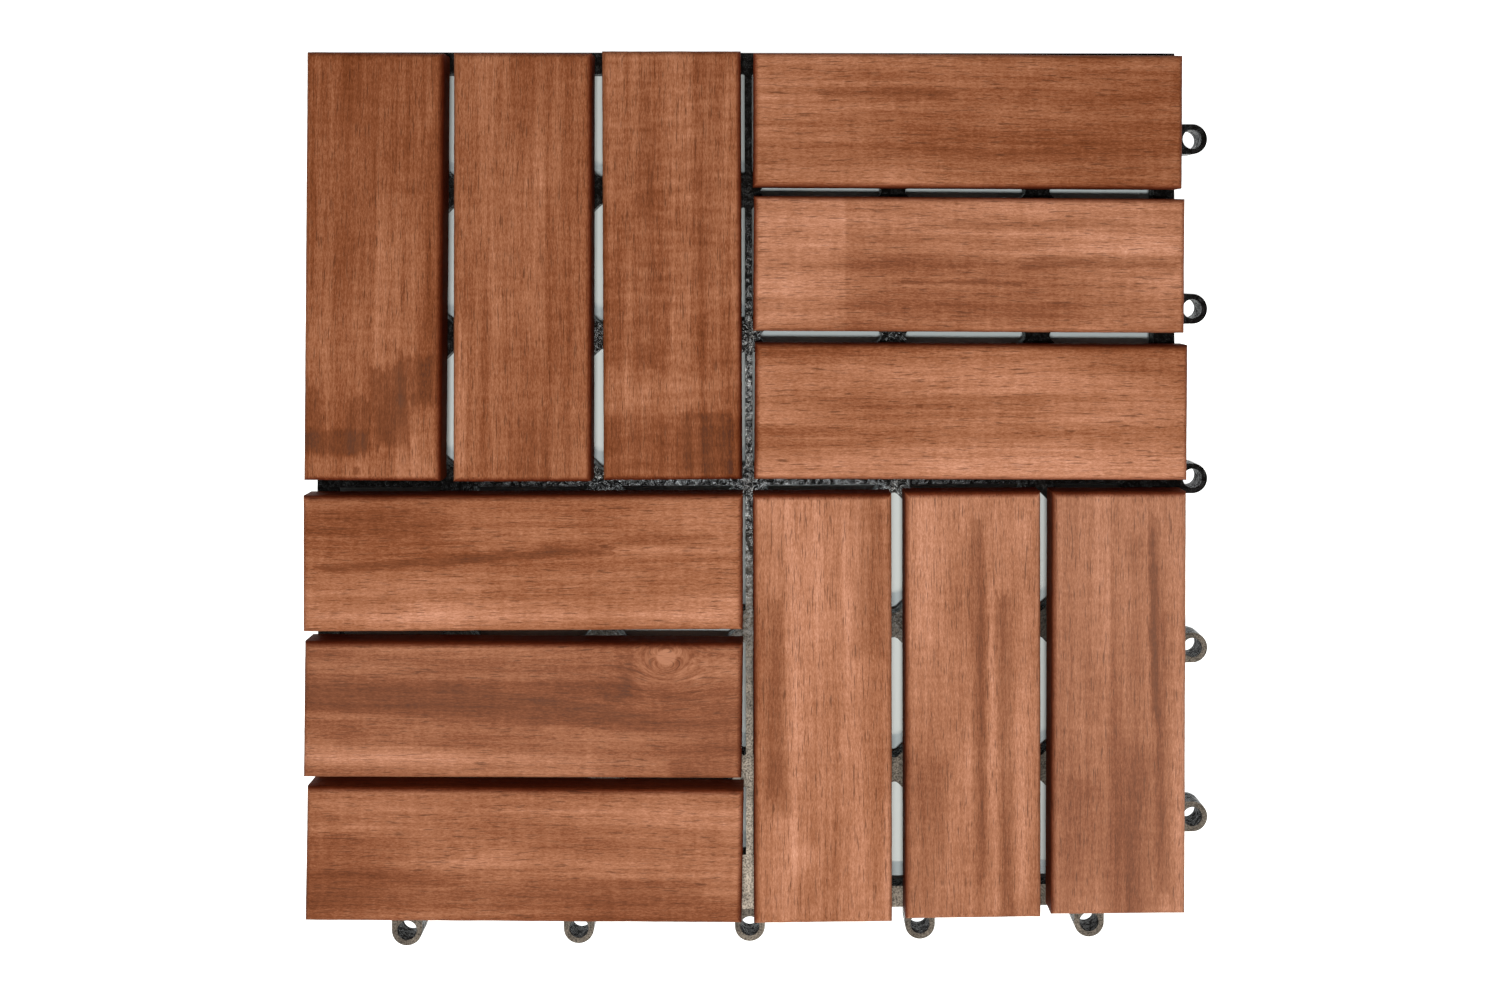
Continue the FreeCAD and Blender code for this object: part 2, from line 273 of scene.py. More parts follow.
# Tone slopes are counted over this length and width in millimetres; a patch has no limit up and down
slope_length = 147
slope_width = 46
no_limit = 99.0
stain_share = 0.9

# The painted edge shade sets in where the face leans this far outwards, and is full at the second value
edge_shade_start, edge_shade_full = 0.28, 0.92
edge_shade_depth = 0.95

# Satin: roughness of dark and pale streaks, specular level, and relief in which pores lie low
wood_rough = (0.60, 0.74)
wood_gloss = 0.08
wood_relief = 0.10 * mm
relief_strength = 0.5
pore_relief = -0.8
fleck_relief = 0.6


def oiled_hardwood(slat, middle, turn, look):
    """Oiled tropical hardwood, sawn along the grain and sanded: satin, reddish brown, with short dark pores."""
    material, tree = new_finish("oiled_hardwood_" + slat)
    seed = look["seed"] * figure_step

    # Millimetres on the slat: X along the grain, Y across it, Z up from the underside
    place = add(tree, "ShaderNodeTexCoord").outputs["Object"]
    on_slat = add(
        tree, "ShaderNodeMapping",
        {"Vector": place, "Location": middle, "Rotation": (0, 0, turn), "Scale": (mm, mm, mm)},
        vector_type="TEXTURE",
    )

    # The grain wanders a little across the slat
    wander = add(tree, "ShaderNodeMapping", {"Vector": on_slat, "Location": (seed, 0, 0), "Scale": wander_scale})
    wander = add(tree, "ShaderNodeTexNoise", {"Vector": wander, "Scale": 1.0, "Detail": 1.0})
    reach = (0.0, look.get("wander", wander_across), wander_up)
    wander = add(tree, "ShaderNodeVectorMath", {0: centred(tree, wander), 1: reach}, operation="MULTIPLY")
    grain = add(tree, "ShaderNodeVectorMath", {0: on_slat, 1: wander}, operation="ADD")

    knot = look.get("knot")
    if knot:
        # Grain parts round the knot as water round a stone
        knot_middle = (knot["along"], knot["across"], 0.0)
        from_knot = add(tree, "ShaderNodeVectorMath", {0: on_slat, 1: knot_middle}, operation="SUBTRACT")
        from_knot = add(tree, "ShaderNodeVectorMath", {0: from_knot, 1: knot_stretch}, operation="MULTIPLY")
        span = add(tree, "ShaderNodeVectorMath", {0: from_knot}, operation="LENGTH").outputs["Value"]
        squared = add(tree, "ShaderNodeMath", {0: span, 1: span, 2: knot_softness}, operation="MULTIPLY_ADD")
        push = add(tree, "ShaderNodeMath", {0: knot["reach"] ** 2, 1: squared}, operation="DIVIDE")
        pushed = add(tree, "ShaderNodeVectorMath", {0: from_knot, "Scale": push}, operation="SCALE")
        pushed = add(tree, "ShaderNodeVectorMath", {0: pushed, 1: (0.0, -1.0, 0.0)}, operation="MULTIPLY")
        grain = add(tree, "ShaderNodeVectorMath", {0: grain, 1: pushed}, operation="ADD")

    # Lightness from 0, the darkest heartwood, to 1, the palest
    ends = add(tree, "ShaderNodeSeparateXYZ", {0: on_slat}).outputs
    shade = look["tone"]
    slopes = {"X": look.get("slope", 0.0) / slope_length, "Y": look.get("cross_slope", 0.0) / slope_width}
    for axis, slope in slopes.items():
        shade = add(tree, "ShaderNodeMath", {0: ends[axis], 1: slope, 2: shade}, operation="MULTIPLY_ADD")
    layers = {}
    for name, (along, across, detail, roughness, weight) in grain_layers.items():
        spot = add(
            tree, "ShaderNodeMapping",
            {"Vector": grain, "Location": (seed, seed, 0), "Scale": (along, across, across)},
        )
        layers[name] = add(
            tree, "ShaderNodeTexNoise", {"Vector": spot, "Scale": 1.0, "Detail": detail, "Roughness": roughness}
        )
        level = add(tree, "ShaderNodeMath", {0: layers[name], 1: 0.5}, operation="SUBTRACT")
        weight *= look.get(name, 1.0)
        shade = add(tree, "ShaderNodeMath", {0: level, 1: weight, 2: shade}, operation="MULTIPLY_ADD")
    stain = 0.0
    for along, across, length, width, strength, edge, ragged, *slant in look["patches"]:
        mask = add(
            tree, "ShaderNodeGroup",
            {"Vector": grain, "Middle": (along, across, 0.0), "Half Size": (length / 2, width / 2, no_limit),
             "Edge": edge, "Ragged": ragged, "Slant": sum(slant)},
            node_tree=patch,
        )
        shade = add(tree, "ShaderNodeMath", {0: mask, 1: strength, 2: shade}, operation="MULTIPLY_ADD")
        if strength < 0:
            depth = -stain_share * strength
            stain = add(tree, "ShaderNodeMath", {0: mask, 1: depth, 2: stain}, operation="MULTIPLY_ADD")
    if knot:
        uneven = add(tree, "ShaderNodeMath", {0: layers["lines"], 1: ring_unevenness}, operation="MULTIPLY")
        rings = add(tree, "ShaderNodeMath", {0: span, 1: ring_turn, 2: uneven}, operation="MULTIPLY_ADD")
        rings = add(tree, "ShaderNodeMath", {0: rings}, operation="SINE")
        fade = add(tree, "ShaderNodeMapRange", {0: span, 1: ring_span[0], 2: ring_span[1], 3: ring_depth, 4: 0.0})
        shade = add(tree, "ShaderNodeMath", {0: rings, 1: fade, 2: shade}, operation="MULTIPLY_ADD")
        eye = add(tree, "ShaderNodeMapRange", {0: span, 1: eye_edge[0], 2: eye_edge[1], 3: 0.0, 4: eye_cover})
        shade = add(tree, "ShaderNodeMix", {0: eye, 2: shade, 3: eye_tone}, data_type="FLOAT")

    ramp = add(tree, "ShaderNodeValToRGB", {0: shade})
    elements = ramp.color_ramp.elements
    while len(elements) < len(wood_palette):
        elements.new(0.5)
    for element, (position, colour) in zip(elements, wood_palette):
        element.position = position
        element.color = linear(colour)

    # Pores are short dark dashes along the grain
    pores = add(tree, "ShaderNodeMapping", {"Vector": grain, "Location": (seed, 0, 0), "Scale": pore_scale})
    pores = add(tree, "ShaderNodeTexNoise", {"Vector": pores, "Scale": 1.0, "Detail": 1.0, "Roughness": 0.5})
    pore = add(tree, "ShaderNodeMapRange", {0: pores, 1: pore_edge[0], 2: pore_edge[1], 3: 0.0, 4: pore_depth})
    dashed = add(tree, "ShaderNodeMix", {0: pore, 6: ramp, 7: linear(pore_colour)}, data_type="RGBA").outputs[2]

    # Stains and dark streaks are greyer than the grain, and some slats are mixed a little towards a pale grey
    stained = add(tree, "ShaderNodeMix", {0: stain, 6: dashed, 7: linear(stain_colour)}, data_type="RGBA").outputs[2]
    haze = look.get("haze", 0.0)
    hazy = add(tree, "ShaderNodeMix", {0: haze, 6: stained, 7: linear(haze_colour)}, data_type="RGBA").outputs[2]

    # Painted shade: the eased edges and the sides are deeper and more orange where they turn away from the light,
    # some more than others
    right, back, left, front = look["edges"]
    normal = add(tree, "ShaderNodeNewGeometry").outputs["Normal"]
    turned = add(tree, "ShaderNodeVectorMath", {0: normal, "Scale": -1.0}, operation="SCALE")
    leans = []
    for direction, shares in ((normal, (right, back, 0.0)), (turned, (left, front, 0.0))):
        towards = add(tree, "ShaderNodeVectorMath", {0: direction, 1: (0.0, 0.0, 0.0)}, operation="MAXIMUM")
        lean = add(tree, "ShaderNodeVectorMath", {0: towards, 1: shares}, operation="DOT_PRODUCT")
        leans.append(lean.outputs["Value"])
    lean = add(tree, "ShaderNodeMath", {0: leans[0], 1: leans[1]}, operation="ADD")
    edge_shade = add(tree, "ShaderNodeMapRange", {0: lean, 1: edge_shade_start, 2: edge_shade_full, 3: 0.0, 4: edge_shade_depth})
    edge_shaded = add(
        tree, "ShaderNodeMix", {0: edge_shade, 6: hazy, 7: linear(edge_shade_colour)}, data_type="RGBA", blend_type="MULTIPLY"
    ).outputs[2]

    streaks = layers["streaks"]
    rough = add(tree, "ShaderNodeMapRange", {0: streaks, 1: 0.3, 2: 0.7, 3: wood_rough[0], 4: wood_rough[1]})
    relief = add(tree, "ShaderNodeMath", {0: pore, 1: pore_relief, 2: streaks}, operation="MULTIPLY_ADD")
    relief = add(tree, "ShaderNodeMath", {0: layers["fleck"], 1: fleck_relief, 2: relief}, operation="MULTIPLY_ADD")
    bump = add(tree, "ShaderNodeBump", {"Height": relief, "Distance": wood_relief, "Strength": relief_strength})
    shader = add(
        tree, "ShaderNodeBsdfPrincipled",
        {"Base Color": edge_shaded, "Roughness": rough, "Normal": bump, "Specular IOR Level": wood_gloss},
    )
    add(tree, "ShaderNodeOutputMaterial", {"Surface": shader})
    return material


plastic_black = "#0F0D0C"
# Pale grey of dusty plastic, which also paints the sheen of the far light
dust_and_sheen_grey = "#D8CABA"
hammer_depth = 0.9 * mm

# How many dents, dust clouds and grains of grit come to a millimetre
hammer_scale = 0.55
cloud_scale = 0.16
grit_scale = 1.6

# Dust and painted sheen on the loops that stand out past the sides
loop_dust_and_sheen = 0.40

# Gloss near the middle of the tile and 110 mm away, in the dents and on the bumps, and the one level that the
# exported model keeps, because the link to its socket is dropped there
polish_from, polish_to = 20.0, 110.0
polish = (0.90, 0.04)
dent_gloss = (0.1, 2.4)
even_gloss = 0.2

# Roughness where rubbed clean and where dusty, and the share of grit in the relief
plastic_rough = (0.25, 0.8)
grit_relief = 0.25


def in_millimetres(tree):
    """Place on the tile in millimetres."""
    place = add(tree, "ShaderNodeTexCoord").outputs["Object"]
    return add(tree, "ShaderNodeMapping", {"Vector": place, "Scale": metres_to_mm})


def thinned(tree, dust_and_sheen, rules):
    """Dust and painted sheen times a share for each rule: what it goes by, from, to, and the share at either end."""
    for measure, start, end, first, last in rules:
        share = add(tree, "ShaderNodeMapRange", {0: measure, 1: start, 2: end, 3: first, 4: last})
        dust_and_sheen = add(tree, "ShaderNodeMath", {0: dust_and_sheen, 1: share}, operation="MULTIPLY")
    return dust_and_sheen


def moulded_polyethylene():
    """Black polyethylene with a hammered mould face: glossy where rubbed, pale towards the front, where it is dusty
    and a sheen of the far light is painted on.
    """
    material, tree = new_finish("moulded_polyethylene")
    place = in_millimetres(tree)
    parts = add(tree, "ShaderNodeSeparateXYZ", {0: place}).outputs
    from_middle = add(tree, "ShaderNodeVectorMath", {0: place}, operation="ABSOLUTE")
    away = add(tree, "ShaderNodeSeparateXYZ", {0: from_middle}).outputs
    normal = add(tree, "ShaderNodeNewGeometry").outputs["Normal"]
    upwards = add(tree, "ShaderNodeSeparateXYZ", {0: normal}).outputs["Z"]

    hammer = add(
        tree, "ShaderNodeTexNoise",
        {"Vector": place, "Scale": hammer_scale, "Detail": 3.0, "Roughness": 0.6, "Distortion": 0.8},
    )
    cloud = add(tree, "ShaderNodeTexNoise", {"Vector": place, "Scale": cloud_scale, "Detail": 4.0, "Roughness": 0.6})
    grit = add(tree, "ShaderNodeTexNoise", {"Vector": place, "Scale": grit_scale, "Detail": 3.0, "Roughness": 0.7})

    # Dust and a painted sheen of the warm far light grow towards the front, are thickest along the middle rib and on
    # top, and thin out to the left
    dust_and_sheen = thinned(tree, 1.0, (
        (parts["Y"], -15.0, -150.0, 0.0, 1.0),
        (away["X"], 8.0, 75.0, 1.1, 0.24),
        (parts["X"], -15.0, -110.0, 1.0, 0.5),
        (parts["Z"], 10.2, 11.5, 0.40, 1.15),
    ))
    outwards = add(tree, "ShaderNodeMath", {0: away["X"], 1: away["Y"]}, operation="MAXIMUM")
    on_loops = thinned(tree, loop_dust_and_sheen, (
        (outwards, 149.0, 152.0, 0.0, 1.0),
        (parts["Y"], -20.0, -60.0, 0.0, 1.0),
    ))
    dust_and_sheen = add(tree, "ShaderNodeMath", {0: dust_and_sheen, 1: on_loops}, operation="MAXIMUM")

    # It lies in clouds and specks, and only on faces that look up
    dust_and_sheen = thinned(tree, dust_and_sheen, (
        (cloud, 0.3, 0.7, 0.45, 1.1),
        (grit, 0.38, 0.6, 0.25, 1.05),
        (upwards, 0.5, 0.95, 0.05, 1.0),
    ))
    colours = {0: dust_and_sheen, 6: linear(plastic_black), 7: linear(dust_and_sheen_grey)}
    colour = add(tree, "ShaderNodeMix", colours, data_type="RGBA").outputs[2]

    # Feet and brooms have polished the moulding round the middle of the tile
    from_axis = add(tree, "ShaderNodeVectorMath", {0: place, 1: (1.0, 1.0, 0.0)}, operation="MULTIPLY")
    from_axis = add(tree, "ShaderNodeVectorMath", {0: from_axis}, operation="LENGTH").outputs["Value"]
    gloss = add(
        tree, "ShaderNodeMapRange", {0: from_axis, 1: polish_from, 2: polish_to, 3: polish[0], 4: polish[1]},
        interpolation_type="SMOOTHSTEP",
    )
    dent = add(tree, "ShaderNodeMapRange", {0: hammer, 1: 0.42, 2: 0.62, 3: dent_gloss[0], 4: dent_gloss[1]})
    gloss = add(tree, "ShaderNodeMath", {0: gloss, 1: dent}, operation="MULTIPLY")

    rough = add(tree, "ShaderNodeMapRange", {0: dust_and_sheen, 1: 0.0, 2: 0.4, 3: plastic_rough[0], 4: plastic_rough[1]})
    relief = add(tree, "ShaderNodeMath", {0: grit, 1: grit_relief, 2: hammer}, operation="MULTIPLY_ADD")
    bump = add(tree, "ShaderNodeBump", {"Height": relief, "Distance": hammer_depth, "Strength": 1.0})
    shader = add(
        tree, "ShaderNodeBsdfPrincipled",
        {"Base Color": colour, "Roughness": rough, "Normal": bump, "Specular IOR Level": gloss},
    )
    shader.inputs["Specular IOR Level"].default_value = even_gloss
    add(tree, "ShaderNodeOutputMaterial", {"Surface": shader})
    return material


zinc_dark = "#A9A79C"
zinc_pale = "#D0CEC4"
bath_scale = 0.8
zinc_rough = (0.28, 0.45)


def zinc_plated_steel():
    """Zinc-plated steel wood screws: pale grey, slightly yellow, dull from the plating bath."""
    material, tree = new_finish("zinc_plated_steel")
    bath = add(tree, "ShaderNodeTexNoise", {"Vector": in_millimetres(tree), "Scale": bath_scale, "Detail": 3.0})
    colours = {0: bath, 6: linear(zinc_dark), 7: linear(zinc_pale)}
    colour = add(tree, "ShaderNodeMix", colours, data_type="RGBA").outputs[2]
    rough = add(tree, "ShaderNodeMapRange", {0: bath, 1: 0.3, 2: 0.7, 3: zinc_rough[0], 4: zinc_rough[1]})
    shader = add(tree, "ShaderNodeBsdfPrincipled", {"Base Color": colour, "Roughness": rough, "Metallic": 1.0})
    add(tree, "ShaderNodeOutputMaterial", {"Surface": shader})
    return material


# How each slat looks. No two are cut alike: fit is how far it lies to the right and to the back of its drawn place,
# how much longer and wider it is, in millimetres, and its swing in degrees. Edges say how deep the painted shade is
# on its right, back, left and front eased edge and side. Seed picks its figure, tone is its lightness, haze how far
# its colour is mixed towards a pale grey, slope and cross_slope how much lighter it gets along and across, wander how
# far its grain strays, and a layer's name how strongly that layer shows. A patch is its middle along and across the
# slat, length, width, strength (below 0 it is a stain), softness of its edge, raggedness and slant, in millimetres
# from the slat's middle. Along the grain is to the right or to the front, and across it is to the back or to the
# right.
slat_looks = {
    "slat_back_left_1": {
        "fit": (-0.40, 0.30, -0.90, 0.15, 0.0), "edges": (1.0, 0.8, 0.5, 1.2),
        "seed": 1, "tone": 0.37,
        "patches": (
            (51.6, -19.6, 23.0, 5.6, -0.14, 1.4, 16.0),
            (60.0, -12.0, 8.0, 22.0, -0.17, 1.4, 6.0),
            (54.0, -4.0, 20.0, 8.0, -0.15, 1.4, 16.0),
            (47.5, 6.0, 27.0, 11.0, -0.20, 1.6, 12.0, 0.1),
            (38.7, 14.3, 17.0, 12.5, -0.17, 1.8, 12.0),
            (50.0, 11.3, 10.5, 6.5, -0.12, 2.0, 8.0),
            (60.0, 17.6, 22.0, 6.5, 0.06, 2.0, 10.0),
            (70.0, 0.0, 8.0, 60.0, 0.06, 2.0, 8.0),
            (69.5, -4.5, 2.4, 2.0, -0.20, 0.6, 0.0),
        ),
    },
    "slat_back_left_2": {
        "fit": (-0.25, 0.0, -0.30, 0.75, 0.0), "edges": (1.0, 0.8, 0.4, 1.2),
        "seed": 2, "tone": 0.42,
        "patches": (
            (63.0, 9.0, 24.0, 22.0, -0.08, 4.0, 20.0),
        ),
    },
    "slat_back_left_3": {
        "fit": (0.07, 0.0, 0.0, 1.25, 0.12), "edges": (1.1, 0.6, 0.4, 1.1),
        "seed": 3, "tone": 0.375, "ripple": 2.0,
        "patches": (
            (61.0, 11.5, 21.0, 18.0, -0.09, 0.8, 3.0),
            (60.0, 5.0, 19.0, 3.0, -0.07, 0.6, 8.0),
            (62.0, 11.8, 22.0, 4.2, -0.08, 0.6, 8.0),
            (59.0, 17.0, 17.0, 2.4, -0.05, 0.6, 8.0),
            (62.0, -11.0, 22.0, 26.0, -0.03, 1.0, 3.0),
            (43.0, 3.0, 14.0, 60.0, 0.12, 3.0, 12.0),
            (0.0, -0.5, 160.0, 3.5, 0.06, 1.0, 0.0),
            (-15.0, -9.0, 100.0, 5.0, -0.07, 2.0, 30.0),
            (-35.0, 12.0, 80.0, 10.0, -0.05, 3.0, 30.0),
        ),
    },
    "slat_back_right_1": {
        "fit": (-0.20, 0.05, 1.30, -0.20, -0.10), "edges": (0.9, 0.8, 1.1, 0.9),
        "seed": 4, "tone": 0.435,
        "patches": ((-26.7, 8.9, 48.0, 3.4, -0.12, 1.5, 24.0), (0.0, -14.0, 160.0, 8.0, -0.05, 3.0, 0.0)),
    },
    "slat_back_right_2": {
        "fit": (-0.30, 0.23, 2.00, 0.19, -0.06), "edges": (0.9, 1.0, 1.1, 0.6),
        "seed": 5, "tone": 0.53, "haze": 0.02, "ripple": 1.2, "cross_slope": 0.10,
        "patches": (
            (-60.0, 0.0, 34.0, 60.0, 0.10, 0.7, 2.0),
            (5.0, 1.0, 80.0, 3.0, -0.07, 1.5, 30.0),
            (46.0, 1.0, 56.0, 4.0, -0.13, 1.6, 24.0),
            (46.0, 5.8, 50.0, 2.6, 0.08, 1.0, 24.0),
            (-3.0, -6.8, 41.0, 1.0, -0.18, 0.5, 16.0),
            (20.0, 14.0, 70.0, 3.0, -0.08, 1.2, 30.0),
            (-70.0, 22.0, 8.0, 1.0, 0.20, 0.4, 3.0),
        ),
    },
    "slat_back_right_3": {
        "fit": (-0.24, 0.14, 2.70, 0.60, -0.10), "edges": (0.9, 1.0, 1.1, 0.8),
        "seed": 6, "tone": 0.55, "cross_slope": -0.20,
        "patches": (
            (0.0, -19.0, 160.0, 7.0, 0.08, 2.0, 0.0),
            (-20.0, 4.0, 90.0, 5.0, -0.05, 2.0, 30.0),
            (-18.3, 2.6, 2.2, 1.0, -0.20, 0.4, 0.0),
        ),
    },
    "slat_front_left_1": {
        "fit": (0.00, -0.05, 2.90, 0.30, 0.0), "edges": (1.0, 1.1, 0.6, 0.05),
        "seed": 7, "tone": 0.50,
        "patches": (
            (-20.0, 1.6, 100.0, 2.8, -0.19, 1.1, 20.0, 0.062),
            (-8.0, 3.4, 40.0, 5.0, -0.06, 2.0, 20.0, 0.062),
            (36.0, 7.5, 60.0, 3.0, -0.07, 1.6, 24.0, 0.05),
            (-50.0, 16.0, 50.0, 12.0, -0.08, 3.0, 24.0),
            (20.0, -16.5, 120.0, 9.0, 0.08, 3.0, 20.0),
        ),
    },
    "slat_front_left_2": {
        "fit": (0.12, -0.10, 2.50, 0.27, -0.20), "edges": (1.0, 1.1, 0.6, 0.05),
        "seed": 8, "tone": 0.375, "haze": 0.04,
        "knot": {"along": 48.6, "across": 18.7, "reach": 6.5},
        "patches": (
            (-20.0, 9.0, 120.0, 20.0, -0.07, 3.5, 20.0, -0.07),
            (-34.0, 3.0, 84.0, 12.0, -0.07, 2.5, 20.0, -0.10),
            (8.0, 4.0, 76.0, 3.0, -0.07, 1.4, 20.0, -0.14),
            (58.0, 5.0, 30.0, 2.4, -0.06, 1.2, 12.0, -0.25),
            (35.0, 13.0, 4.0, 12.0, -0.10, 1.5, 6.0),
            (31.0, 5.5, 7.0, 2.0, -0.10, 0.8, 3.0),
            (38.0, -3.0, 66.0, 6.0, -0.06, 2.0, 20.0, -0.10),
            (-14.0, -17.0, 130.0, 8.0, 0.12, 2.0, 14.0, -0.03),
        ),
    },
    "slat_front_left_3": {
        "fit": (0.20, 0.26, 2.00, -0.20, -0.25), "edges": (1.0, 1.1, 0.6, 0.05),
        "seed": 9, "tone": 0.455, "haze": 0.02, "cross_slope": 0.17, "slope": 0.06,
        "patches": (
            (-6.0, -12.6, 134.0, 7.0, -0.08, 2.2, 20.0),
            (-40.0, -5.0, 60.0, 4.0, -0.05, 2.0, 20.0),
        ),
    },
    "slat_front_right_1": {
        "fit": (-0.40, 0.03, 0.75, 1.50, 0.0), "edges": (0.5, 1.2, 1.0, 0.1),
        "seed": 10, "tone": 0.59, "haze": 0.015,
        "patches": (
            (-19.0, -15.0, 108.0, 6.0, -0.05, 2.0, 24.0),
            (-4.0, -16.6, 68.0, 6.4, -0.12, 1.6, 16.0),
            (26.0, -15.5, 22.0, 9.0, -0.06, 2.0, 10.0),
            (0.0, -7.5, 110.0, 6.0, 0.05, 2.0, 20.0),
            (-46.0, 16.0, 56.0, 12.0, -0.12, 3.0, 20.0),
            (45.0, -10.0, 18.0, 9.0, 0.10, 2.5, 14.0, 0.5),
            (62.0, -10.0, 26.0, 16.0, 0.05, 4.0, 20.0),
        ),
    },
    "slat_front_right_2": {
        "fit": (0.0, 0.14, 0.27, 0.70, 0.0), "edges": (0.5, 1.2, 0.9, 0.1),
        "seed": 11, "tone": 0.575, "haze": 0.04, "wander": 1.5,
        "patches": (
            (-2.0, 2.0, 124.0, 4.2, -0.13, 1.1, 20.0, 0.014),
            (6.0, 2.0, 80.0, 1.6, -0.07, 0.8, 24.0, 0.014),
            (20.0, 10.8, 112.0, 4.8, -0.16, 1.4, 20.0, 0.02),
            (12.0, 6.6, 118.0, 1.8, 0.08, 0.7, 30.0, 0.016),
            (0.0, 16.5, 130.0, 6.0, 0.09, 2.0, 24.0),
            (46.0, -16.0, 56.0, 13.0, -0.10, 3.0, 20.0),
        ),
    },
    "slat_front_right_3": {
        "fit": (0.17, 0.23, -0.73, 0.35, 0.0), "edges": (0.2, 1.2, 0.9, 0.1),
        "seed": 12, "tone": 0.52, "haze": 0.08, "wander": 1.5,
        "patches": (
            (-27.0, 11.4, 64.0, 2.2, -0.17, 0.8, 20.0, 0.02),
            (0.0, 13.8, 132.0, 4.0, -0.12, 1.6, 24.0, 0.035),
            (-24.0, -12.5, 100.0, 14.0, 0.09, 3.0, 24.0),
            (10.0, 5.0, 140.0, 6.0, -0.05, 3.0, 24.0),
            (44.0, 8.0, 60.0, 12.0, -0.06, 3.0, 24.0),
        ),
    },
}

# Faces that meet at more than this angle keep a sharp edge between them
sharp_from = math.radians(50)


def build_slats():
    """Each slat in its place over the CAD slat, with its own wood."""
    tree = slat_tree()
    sockets = {item.name: item.identifier for item in tree.interface.items_tree}
    for node, look in slat_looks.items():
        middle, turn, length, width = slat_place(node)
        right, back, longer, wider, swing = look["fit"]
        middle += Vector((right * mm, back * mm, 0))
        turn += math.radians(swing)
        length += longer * mm
        width += wider * mm
        material = oiled_hardwood(node, middle, turn, look)
        holder = bpy.data.objects.new("sanded_" + node, bpy.data.meshes.new("sanded_" + node))
        bpy.context.scene.collection.objects.link(holder)
        modifier = holder.modifiers.new("slat", "NODES")
        modifier.node_group = tree
        modifier[sockets["Length"]] = length
        modifier[sockets["Width"]] = width
        modifier[sockets["Seed"]] = float(look["seed"])
        modifier[sockets["Material"]] = material
        seen = holder.evaluated_get(bpy.context.evaluated_depsgraph_get())
        mesh = bpy.data.meshes.new_from_object(seen)
        holder.modifiers.clear()
        mesh.transform(Matrix.Translation(middle) @ Matrix.Rotation(turn, 4, "Z"))
        mesh.shade_smooth()
        mesh.set_sharp_from_angle(angle=sharp_from)
        holder.data = mesh
        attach(holder, "root")
        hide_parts(node)


def dress(node, material):
    """Gives a CAD node its finish."""
    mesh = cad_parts[node].data
    mesh.materials.clear()
    mesh.materials.append(material)


# The photograph's view: straight down from over the back half, the camera a degree and a half off level.
# Focal length and the place where its axis meets the picture are in pixels, the tilt in degrees.
focal_pixels = 1569.1
photo_width = 1500.0
axis_right = 48.2
axis_up = 229.9
sensor_width = 36.0
camera_place = (3.4 * mm, 77.4 * mm, 561.3 * mm)
camera_tilt = (-0.35, -1.46, -0.11)
nearest_seen = 10 * mm


def place_camera():
    """The photograph's camera. Its axis meets the picture above and right of the middle, so the frame is shifted."""
    data = bpy.data.cameras.new("photo_camera")
    data.sensor_width = sensor_width
    data.lens = sensor_width * focal_pixels / photo_width
    data.shift_x = -axis_right / photo_width
    data.shift_y = -axis_up / photo_width
    data.clip_start = nearest_seen
    camera = bpy.data.objects.new("photo_camera", data)
    camera.location = camera_place
    camera.rotation_euler = [math.radians(angle) for angle in camera_tilt]
    bpy.context.scene.collection.objects.link(camera)
    bpy.context.scene.camera = camera


lamp_height = 750 * mm
lamp_back = -5 * mm
lamp_size = (130 * mm, 34 * mm)
lamp_power = 2.88
lamp_cool = (0.93, 1.0, 1.02)

# The tube hangs this far towards the front for each metre of height
tube_slope = 0.42
tube_height = 1840 * mm
tube_size = (700 * mm, 46 * mm)
tube_power = 21.0
tube_warm = (1.08, 1.0, 0.90)
surrounding_light = 0.12


def seen_rays(tree):
    """1 for rays that should see plain white: those of the camera, of reflections and of what is looked through."""
    rays = add(tree, "ShaderNodeLightPath").outputs
    seen = add(tree, "ShaderNodeMath", {0: rays["Is Camera Ray"], 1: rays["Is Glossy Ray"]}, operation="MAXIMUM")
    return add(tree, "ShaderNodeMath", {0: seen, 1: rays["Is Transmission Ray"]}, operation="MAXIMUM")


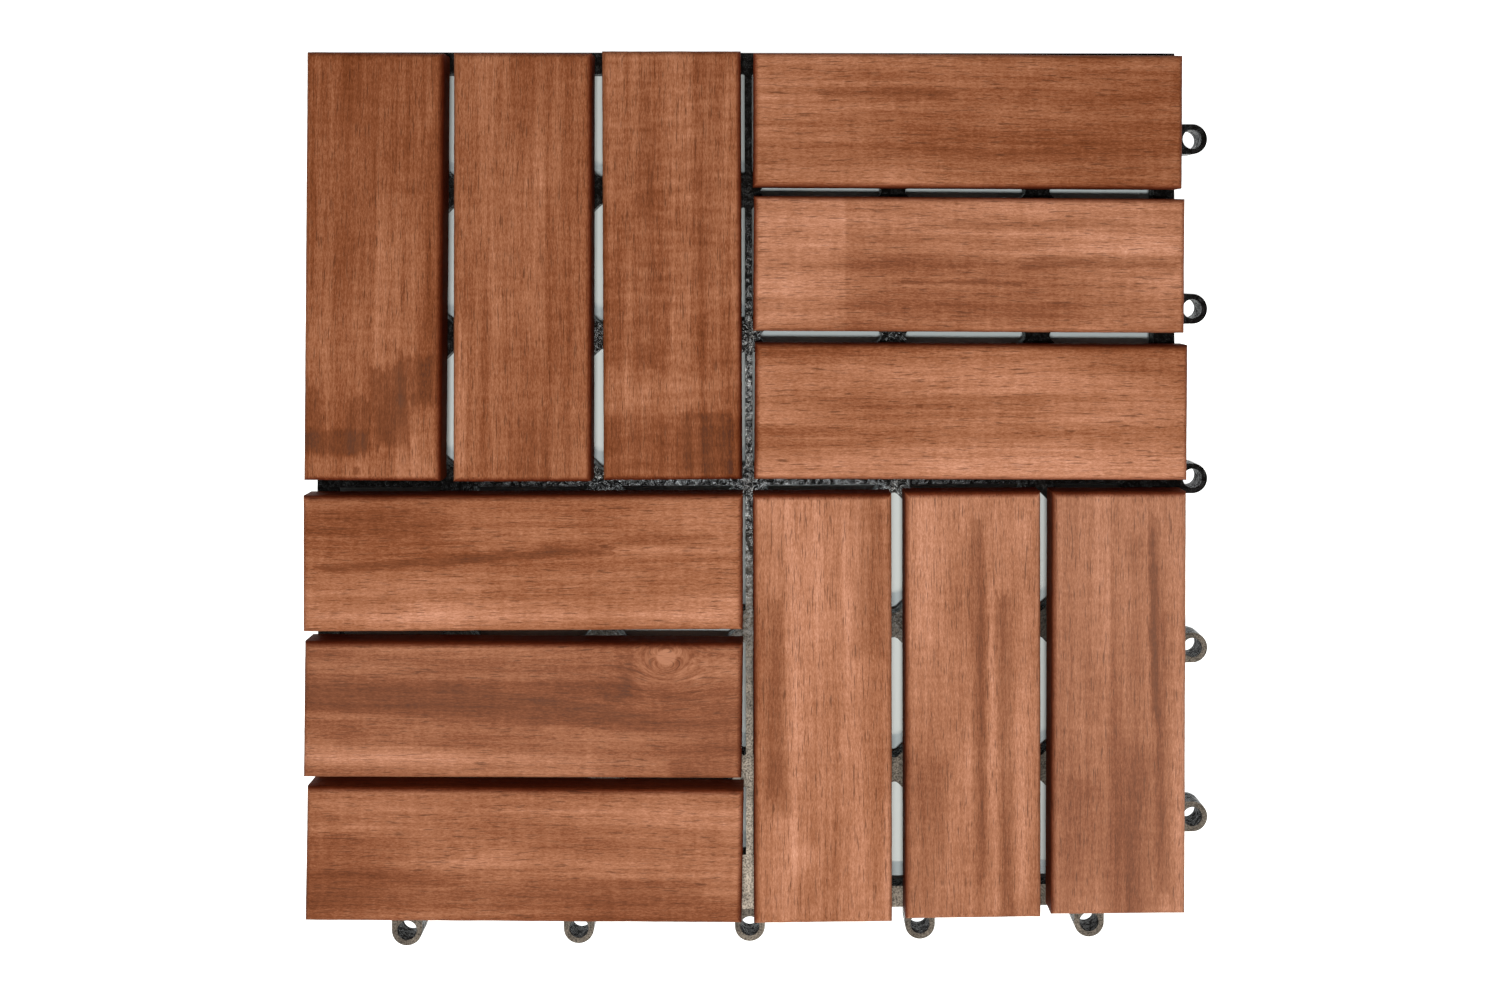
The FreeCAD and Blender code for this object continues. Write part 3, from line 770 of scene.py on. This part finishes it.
def place_lights():
    """A cool lamp over the tile, a warm far one towards the front, and an even pale surrounding."""
    lamps = (
        ("studio_lamp", lamp_size, lamp_power, lamp_cool, (0, lamp_back, lamp_height), 0.0),
        ("far_tube", tube_size, tube_power, tube_warm, (0, -tube_slope * tube_height, tube_height),
         math.atan(tube_slope)),
    )
    for name, size, power, colour, place, lean in lamps:
        data = bpy.data.lights.new(name, "AREA")
        data.shape = "RECTANGLE"
        data.size, data.size_y = size
        data.energy = power
        data.color = colour
        lamp = bpy.data.objects.new(name, data)
        lamp.location = place
        lamp.rotation_euler = (lean, 0, 0)
        bpy.context.scene.collection.objects.link(lamp)

    world = bpy.data.worlds.new("studio")
    world.use_nodes = True
    tree = world.node_tree
    tree.nodes.clear()
    strength = add(tree, "ShaderNodeMapRange", {0: seen_rays(tree), 3: surrounding_light, 4: 1.0})
    light = add(tree, "ShaderNodeBackground", {"Color": linear("#FFFFFF"), "Strength": strength})
    add(tree, "ShaderNodeOutputWorld", {"Surface": light})
    bpy.context.scene.world = world


paper_colour = "#E0E3E1"
table_half = 3.0

# The table turns from paper, with the tile's shadow, to plain white over this strip just inside the tile's sides
white_from = tile_half - 3 * mm
white_to = tile_half - 0.3 * mm


def build_table():
    """White table under the tile: pale grey paper in the gaps, and plain white all round."""
    size = table_half
    mesh = bpy.data.meshes.new("white_table")
    mesh.from_pydata([(-size, -size, 0), (size, -size, 0), (size, size, 0), (-size, size, 0)], [], [(0, 1, 2, 3)])
    table = bpy.data.objects.new("white_table", mesh)
    bpy.context.scene.collection.objects.link(table)
    material, tree = new_finish("white_table")
    place = add(tree, "ShaderNodeTexCoord").outputs["Object"]
    away = add(tree, "ShaderNodeVectorMath", {0: place}, operation="ABSOLUTE")
    parts = add(tree, "ShaderNodeSeparateXYZ", {0: away}).outputs
    far = add(tree, "ShaderNodeMath", {0: parts["X"], 1: parts["Y"]}, operation="MAXIMUM")
    clear = add(tree, "ShaderNodeMapRange", {0: far, 1: white_from, 2: white_to, 3: 0.0, 4: 1.0})
    glow = add(tree, "ShaderNodeMath", {0: clear, 1: seen_rays(tree)}, operation="MULTIPLY")
    paper = add(tree, "ShaderNodeBsdfDiffuse", {"Color": linear(paper_colour)})
    white = add(tree, "ShaderNodeEmission", {"Color": linear("#FFFFFF"), "Strength": 1.0})
    shown = add(tree, "ShaderNodeAddShader", {0: paper, 1: white})
    surface = add(tree, "ShaderNodeMixShader", {0: glow, 1: paper, 2: shown})
    add(tree, "ShaderNodeOutputMaterial", {"Surface": surface})
    mesh.materials.append(material)


build_slats()
dress("base_grid", moulded_polyethylene())
dress("screws", zinc_plated_steel())
place_camera()
place_lights()
build_table()
bpy.context.scene.view_settings.view_transform = "Standard"
